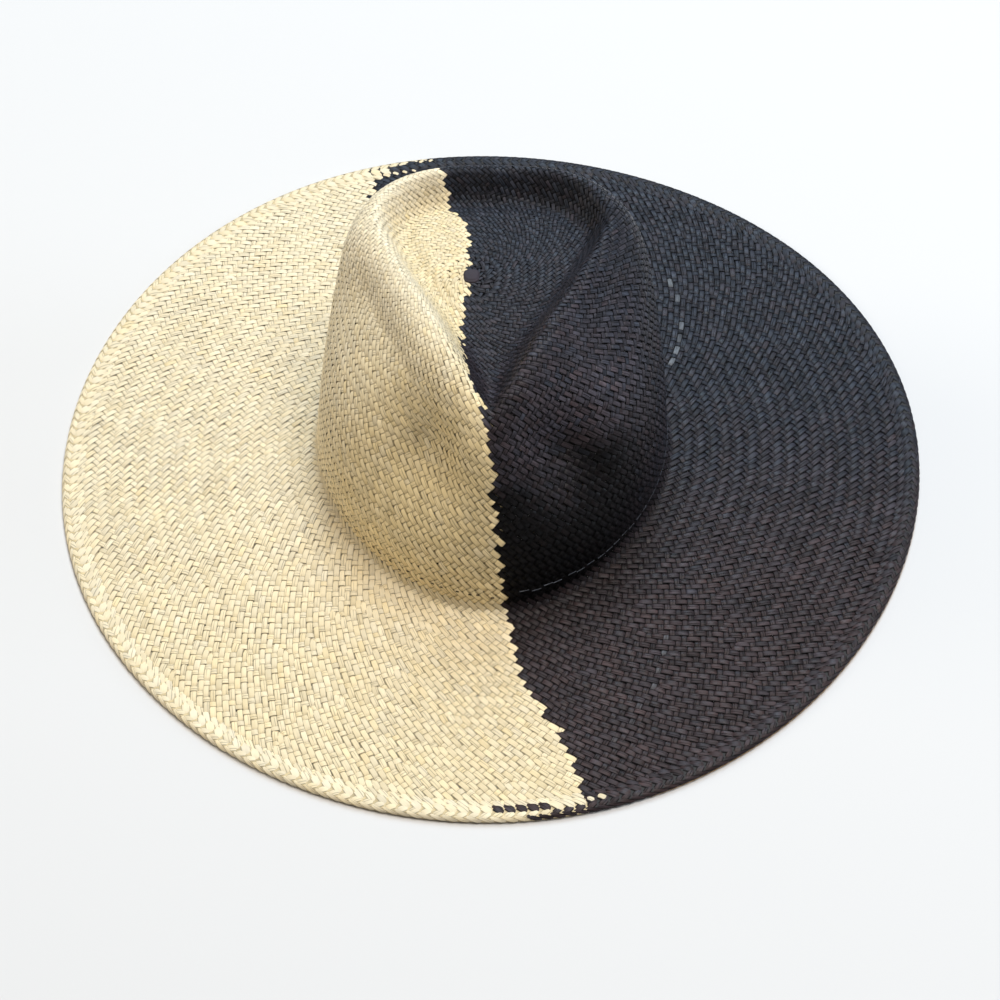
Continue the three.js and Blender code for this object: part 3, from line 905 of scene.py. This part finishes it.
# Where each tone of painted light and shade comes in: depth in the dent, places from the back and the
# middle to the front, how much a straw faces the front, heights, and run on the brim
IN_DENT = (2, 16)
AHEAD = (-60, 120)
CROWN_AHEAD = (0, 90)
BRIM_AHEAD = (0, 160)
FACING_FRONT = (0.2, 0.8)
FACING_TOP = (66, 84)
CREST_HEIGHT = (92, 116)
LOW_HEIGHT = (15, 50)
BY_FOOT_RUN = 0.35


def tones(count, random, spread, warm):
    """Shade, warmth, seed and fleck for each straw."""
    made = np.zeros((count, 4))
    made[:, 0] = np.clip(1 + spread * random.standard_normal(count), 0.6, 1.25)
    made[:, 1] = np.clip(warm + WARMTH_SPREAD * random.standard_normal(count), 0, 1)
    made[:, 2] = random.random(count)
    return made


def near_straw(woven, line):
    """Which straws of the brim lie along a line of azimuths and runs."""
    place = np.interp(woven["run"], line[:, 1], line[:, 0])
    radius = np.linalg.norm(middles(woven)[:, :2], axis=-1)
    away = np.abs((woven["azimuth"] - place + 180) % 360 - 180) * np.pi / 180 * radius
    along = (woven["run"] > line[0, 1]) & (woven["run"] < line[-1, 1])
    return along & (away < PALE_REACH) & ~woven["on_crown"]


def weave_tones(woven, natural, random):
    """Tones of the weave, much of it painted light and shade. Natural straw is yellower in the dent
    and at the front as painted warm shade, lighter and cooler at the crest as a painted highlight,
    darker and yellower in the pinches as painted shade, and lighter low on the crown as painted
    light. Black is darker where it faces the front and by the foot at the front as painted shade,
    lighter in the pinches and on its long floats as a painted sheen, and warmer towards the front
    as painted warm light."""
    middle = middles(woven)
    normal = woven["normals"][:, woven["normals"].shape[1] // 2]
    forward, height = -middle[:, 1], middle[:, 2]
    on_crown = woven["on_crown"]
    dented = smooth(inside_teardrop(middle[:, 0], middle[:, 1]), *IN_DENT) * on_crown
    ahead = smooth(forward, *AHEAD)
    # Painted shade on the crown's black front wall below the pinches, which faces away from the lights
    painted_front_shade = smooth(-normal[:, 1], *FACING_FRONT) * on_crown
    painted_front_shade = painted_front_shade * (1 - smooth(height, *FACING_TOP))
    # Painted highlight: natural straw at the crest is lighter and cooler
    crest = smooth(height, *CREST_HEIGHT) * (1 - dented) * on_crown
    # Painted light and shade in the pinches: natural straw darker and yellower, black straw lighter
    painted_pinch_shading = side_pinch(middle) / PINCH_DEPTH * on_crown
    # Painted light: natural straw lighter low on the crown
    low = (1 - smooth(height, *LOW_HEIGHT)) * on_crown
    # Painted shade on black brim straws in the corner by the foot at the front
    painted_foot_shade = (1 - smooth(woven["run"], 0, BY_FOOT_RUN)) * ahead * ~on_crown
    # Painted warm shade: natural straw yellower in the dent, in the pinches and towards the front, and
    # cooler at the crest as a painted highlight
    crown_warm = 0.22 - 0.22 * crest + 0.4 * dented + 0.2 * painted_pinch_shading + 0.7 * smooth(forward, *CROWN_AHEAD)
    # Painted warm shade: the natural brim yellower towards the front
    brim_warm = 0.22 + 0.3 * smooth(forward, *BRIM_AHEAD)
    natural_warm = np.where(on_crown, crown_warm, brim_warm)
    # Painted light on black: warmer towards the front where the warm light falls, and bluish towards the
    # back as a painted sheen
    warm = np.where(natural, natural_warm, 0.1 + np.where(on_crown, 0.5, 0.75) * ahead)
    tone = tones(len(natural), random, np.where(natural, NATURAL_SPREAD, BLACK_SPREAD), warm)
    # Painted sheen: long black floats lighter than short ones; painted shade where black faces the front
    # and by the foot
    black_shade = np.where(woven["is_long"], 1.1, 0.85) * (1 - 0.9 * painted_front_shade) * (1 - 0.5 * painted_foot_shade)
    # Painted highlight: black straws lighter in the pinches
    black_shade *= 1 + 0.9 * painted_pinch_shading
    # Natural straw: painted highlight at the crest, painted shade in the pinches and painted light low on
    # the crown
    natural_shade = 1 + 0.1 * crest - 0.12 * painted_pinch_shading + 0.14 * low
    tone[:, 0] *= np.where(natural, natural_shade, black_shade)
    tone[:, 0] *= np.where(natural & woven["is_tip"], TIP_SHADE, 1)
    long_pale = near_straw(woven, PALE_LONG_STRAW) & woven["is_long"]
    short_pale = near_straw(woven, PALE_SHORT_STRAW) & ~woven["is_long"]
    strength = PALE_LEAST + PALE_SPREAD * random.random(len(natural))
    tone[:, 3] = np.where(~natural & long_pale, strength, 0)
    tone[:, 3] = np.where(~natural & short_pale, strength * PALE_SHORT_SHARE, tone[:, 3])
    return tone


def border_row(row, flecks):
    """One row of the border's braid: points, normals, which straws are natural, their size, and
    which are flecks. Flecks are natural straws over others."""
    count = int(round(2 * np.pi * BRIM_RADIUS / BORDER_PITCH))
    azimuth = 2 * np.pi * np.arange(count) / count
    share = np.linspace(0, 1, BORDER_STEPS)
    step = np.linalg.norm(np.diff(BORDER_TOP, axis=0), axis=1)
    length = np.concatenate([[0], np.cumsum(step)])
    place = row["start"] + (row["end"] - row["start"]) * share
    inset = np.interp(place, length, BORDER_TOP[:, 0])
    height = np.interp(place, length, BORDER_TOP[:, 1])
    turned = azimuth[:, None] + row["lean"] * (share - 0.5) / BRIM_RADIUS
    radius = edge_radius(turned) - inset
    points = np.stack([radius * np.cos(turned), radius * np.sin(turned), height + 0 * radius], -1)
    outward = -np.gradient(inset)
    upward = np.gradient(height)
    slope = np.hypot(outward, upward)
    level, rise = -upward / slope, outward / slope
    normals = np.stack([level * np.cos(turned), level * np.sin(turned), rise + 0 * turned], -1)
    degrees = np.degrees(azimuth)
    natural = (degrees > row["back"]) & (degrees < row["front"])
    under = np.array([np.argmin(np.abs(degrees - fleck)) for fleck, _ in flecks], int)
    chosen = np.concatenate([np.arange(count), under])
    is_fleck = np.arange(len(chosen)) >= count
    size = np.concatenate([np.ones(count), [share_of_straw for _, share_of_straw in flecks]])
    middle = points[chosen, BORDER_STEPS // 2][:, None]
    points = middle + (points[chosen] - middle) * size[:, None, None]
    return points, normals[chosen], natural[chosen] | is_fleck, size, is_fleck


def border_braid(random):
    """All rows of the border as arrays like the weave's, and which of their straws are natural."""
    rows = []
    tucked = np.sin(np.linspace(0, np.pi, BORDER_STEPS)) ** 0.6
    for name, row in BORDER_ROWS.items():
        points, normals, natural, size, is_fleck = border_row(row, BORDER_FLECKS[name])
        across = row["end"] - row["start"]
        spacing = BORDER_PITCH * across / math.hypot(across, row["lean"])
        count = len(points)
        scatter = 1 + BORDER_WIDTH_SCATTER * random.standard_normal((count, 1))
        rows.append({
            "points": points,
            "normals": normals,
            "lift": row["lift"] * (1.5 * tucked - 0.8) + FLECK_LIFT * is_fleck[:, None],
            "half_width": row["fit"] * spacing / 2 * scatter * size[:, None] * (0.88 + 0.12 * tucked),
            "arch": np.full(count, BORDER_ARCH),
            "natural": natural,
        })
    return {key: np.concatenate([row[key] for row in rows]) for key in rows[0]}


def braid_tones(braid, random):
    """Tones of the braid, which follow the brim's: black is warmer towards the front as painted warm light.
    """
    natural = braid["natural"]
    ahead = smooth(-braid["points"][:, 0, 1], *AHEAD)
    # Painted warm light on the black braid towards the front
    warm = np.where(natural, 0.25, 0.1 + 0.75 * ahead)
    return tones(len(warm), random, np.where(natural, NATURAL_SPREAD, BRAID_BLACK_SPREAD), warm)


def tan_edge():
    """The tan edge as arrays like the weave's, with one strip."""
    azimuth = np.radians(np.linspace(TAN_EDGE["start"], TAN_EDGE["end"], TAN_EDGE["steps"]))[None]
    radius = edge_radius(azimuth)
    outward = np.stack([np.cos(azimuth), np.sin(azimuth), 0 * azimuth], -1)
    points = outward * radius[..., None]
    points[..., 2] = TAN_EDGE["height"]
    tapered = np.sin(np.linspace(0, np.pi, TAN_EDGE["steps"])) ** 0.3
    return {
        "points": points,
        "normals": outward,
        "lift": np.full(azimuth.shape, TAN_EDGE["lift"]),
        "half_width": TAN_EDGE["half_width"] * tapered[None],
        "arch": np.full(1, FLAT_ARCH),
    }


def stitches(sheet, random, kind):
    """One kind of short straight stitches round the crown above the foot, as arrays like the weave's."""
    distance = RING_START + (sheet.crown_end - RING_START) * STITCH_RUN
    round_here = np.interp(distance, sheet.distance, sheet.round)
    count = int(round(round_here / STITCH_PITCH))
    start = (np.arange(count) + SCATTER_ALONG * random.standard_normal(count)) / count
    share = start[:, None] + np.linspace(0, kind["length"] / round_here, STITCH_STEPS)
    away = distance + SCATTER_ACROSS * random.standard_normal(count)[:, None] + 0 * share
    points, normals = sheet.place(share, away)
    azimuth, _ = sheet.facts_at(share[:, 0], away[:, 0])
    kept = (azimuth - kind["from"]) % 360 < (kind["to"] - kind["from"]) % 360
    count = int(kept.sum())
    return {
        "points": points[kept],
        "normals": normals[kept],
        "lift": np.full((count, STITCH_STEPS), STITCH_LIFT),
        "half_width": np.full((count, STITCH_STEPS), kind["half_width"]),
        "arch": np.full(count, FLAT_ARCH),
    }


def add_strips(name, arrays, chosen, tone, material):
    """A piece of the scene made of some of the strips in the arrays."""
    fields = [arrays[key][chosen] for key in ("points", "normals", "lift", "half_width", "arch")]
    piece = strips(name, *fields, tone)
    piece.data.materials.append(material)
    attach(piece, "root")
    print(name, len(piece.data.polygons) * 2, "triangles")
    return piece


def button_dome(material):
    """A low round dome on the crown's slope where the weave begins."""
    theta = np.linspace(0, 2 * np.pi, BUTTON_SIDES, endpoint=False)
    run = BUTTON_RADIUS / (CROWN_TOP - CROWN_FOOT + TOP_HALF_LENGTH)
    rim = crown_points(theta, np.array([run, run * 1.05]))[:, 0]
    centre = rim.mean(0)
    normal = np.cross(rim[0] - centre, rim[BUTTON_SIDES // 4] - centre)
    normal /= np.linalg.norm(normal)
    points = [rim - BUTTON_SUNK * normal]
    for ring in range(BUTTON_RINGS):
        angle = np.pi / 2 * ring / BUTTON_RINGS
        lift = BUTTON_LIFT + BUTTON_HEIGHT * math.sin(angle)
        points.append(centre + (rim - centre) * math.cos(angle) + normal * lift)
    vertices = np.concatenate(points + [[centre + normal * (BUTTON_LIFT + BUTTON_HEIGHT)]]) * MM
    faces = []
    for ring in range(BUTTON_RINGS):
        for k in range(BUTTON_SIDES):
            low, high = ring * BUTTON_SIDES, (ring + 1) * BUTTON_SIDES
            after = (k + 1) % BUTTON_SIDES
            faces.append((low + k, low + after, high + after, high + k))
    top = BUTTON_RINGS * BUTTON_SIDES
    for k in range(BUTTON_SIDES):
        faces.append((top + k, top + (k + 1) % BUTTON_SIDES, len(vertices) - 1))
    faces.append(tuple(reversed(range(BUTTON_SIDES))))
    mesh = bpy.data.meshes.new("button_dome")
    mesh.from_pydata(vertices.tolist(), [], faces)
    mesh.polygons.foreach_set("use_smooth", np.ones(len(faces), bool))
    mesh.materials.append(material)
    piece = bpy.data.objects.new("button_dome", mesh)
    bpy.context.collection.objects.link(piece)
    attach(piece, "root")
    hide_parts("crown_button")


# The pieces: the weave first, then the border, the stitches, the edge and the button
sheet = Sheet()
random = np.random.default_rng(SEED)
woven = weave(sheet, lay_rings(sheet), random)
natural = colour_of_straws(woven, random)
tone = weave_tones(woven, natural, random)

natural_straw = straw_material("natural_straw", NATURAL_LOOK)
black_straw = straw_material("black_straw", BLACK_LOOK)
COLOURS = {"natural": natural_straw, "black": black_straw}

for part, on_part in (("crown", woven["on_crown"]), ("brim", ~woven["on_crown"])):
    for colour, material in COLOURS.items():
        chosen = np.flatnonzero(on_part & (natural == (colour == "natural")))
        name, slot = f"woven_{part}_{colour}", f"{colour}_straw"
        piece = add_strips(name, woven, chosen, tone[chosen], material)
        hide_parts(f"{part}_{colour}")

braid = border_braid(random)
braid_tone = braid_tones(braid, random)
for colour, material in COLOURS.items():
    chosen = np.flatnonzero(braid["natural"] == (colour == "natural"))
    add_strips(f"border_braid_{colour}", braid, chosen, braid_tone[chosen], material)

stitch_arrays = {colour: stitches(sheet, random, kind) for colour, kind in STITCHES.items()}
for colour, arrays in stitch_arrays.items():
    every = np.arange(len(arrays["points"]))
    thread_tone = tones(len(every), random, THREAD_SPREAD, EVEN_WARMTH)
    thread = plain_straw(STITCHES[colour]["thread"], STITCHES[colour]["colour"])
    add_strips(f"stitches_{colour}", arrays, every, thread_tone, thread)

edge_straw = plain_straw("tan_edge", TAN_STRAW)
edge_tone = tones(1, random, 0, EVEN_WARMTH)
add_strips("border_edge", tan_edge(), [0], edge_tone, edge_straw)

button_dome(cloth_material("button_straw", BUTTON_CLOTH))

# The solids that stay visible: the border's two cores and the band inside
frame_materials = {
    "border_natural": plain_straw("border_natural_core", SHADED_NATURAL_CORE),
    "border_black": plain_straw("border_black_core", BLACK_CORE),
    "sweatband": cloth_material("sweatband_cloth", BAND_CLOTH),
}
for name, material in frame_materials.items():
    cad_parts[name].material_slots[0].material = material


# Stage, in metres: a pale floor, soft round lights and a weak warm surround
FLOOR_REACH = 6.0
LIGHTS = {
    "top": {
        "place": (0.6, 0.1, 2.5), "target": (0, -0.1, 0),
        "size": 1.8, "power": 62, "colour": (1.0, 0.96, 0.9),
    },
    "back": {
        "place": (0.2, 2.5, 2.8), "target": (0, 0, 0.05),
        "size": 1.8, "power": 92, "colour": (0.64, 0.83, 1.0),
    },
    "left": {
        "place": (-2.0, 0.3, 1.0), "target": (0, 0, 0.05),
        "size": 1.0, "power": 15, "colour": (1.0, 0.9, 0.72),
    },
    "right": {
        "place": (2.1, 0.0, 0.75), "target": (0, 0, 0.08),
        "size": 1.0, "power": 12, "colour": (0.72, 0.85, 1.0),
    },
}
SURROUND_COLOUR = (1.0, 0.94, 0.85, 1)
SURROUND_STRENGTH = 0.12


def add_floor():
    mesh = bpy.data.meshes.new("floor")
    corners = [(x * FLOOR_REACH, y * FLOOR_REACH, 0) for x, y in ((-1, -1), (1, -1), (1, 1), (-1, 1))]
    mesh.from_pydata(corners, [], [(0, 1, 2, 3)])
    floor = bpy.data.objects.new("floor", mesh)
    bpy.context.collection.objects.link(floor)
    material, _, shader = new_material("floor")
    shader.inputs["Base Color"].default_value = FLOOR_COLOUR
    shader.inputs["Roughness"].default_value = 0.9
    shader.inputs["Specular IOR Level"].default_value = 0.1
    mesh.materials.append(material)


def add_light(name, place, target, size, power, colour):
    data = bpy.data.lights.new(name, "AREA")
    data.shape = "DISK"
    data.size = size
    data.energy = power
    data.color = colour
    light = bpy.data.objects.new(name, data)
    light.location = place
    light.rotation_euler = (Vector(target) - Vector(place)).to_track_quat("-Z", "Y").to_euler()
    bpy.context.collection.objects.link(light)


add_floor()
for name, light in LIGHTS.items():
    add_light(name, **light)

world = bpy.data.worlds.new("studio")
bpy.context.scene.world = world
world.use_nodes = True
surround = world.node_tree.nodes["Background"]
surround.inputs["Color"].default_value = SURROUND_COLOUR
surround.inputs["Strength"].default_value = SURROUND_STRENGTH

# Camera: the photo's angle, with the frame 1000 pixels wide and 2040 pixels to the metre at the aim
ELEVATION = math.radians(49)
CAMERA_DISTANCE = 1.150
AIM = Vector((0, -0.021, 0.040))
PIXELS_PER_METRE = 2040
AIM_PIXEL = (492, 431)
FRAME_PIXELS = 1000
SENSOR_WIDTH = 36
camera_data = bpy.data.cameras.new("camera")
camera = bpy.data.objects.new("camera", camera_data)
bpy.context.collection.objects.link(camera)
forward = Vector((0, math.cos(ELEVATION), -math.sin(ELEVATION)))
camera.location = AIM - forward * CAMERA_DISTANCE
camera.rotation_euler = forward.to_track_quat("-Z", "Y").to_euler()
camera_data.sensor_width = SENSOR_WIDTH
camera_data.lens = PIXELS_PER_METRE * CAMERA_DISTANCE / FRAME_PIXELS * SENSOR_WIDTH
camera_data.shift_x = (FRAME_PIXELS / 2 - AIM_PIXEL[0]) / FRAME_PIXELS
camera_data.shift_y = (AIM_PIXEL[1] - FRAME_PIXELS / 2) / FRAME_PIXELS
bpy.context.scene.camera = camera
bpy.context.scene.view_settings.view_transform = "Standard"
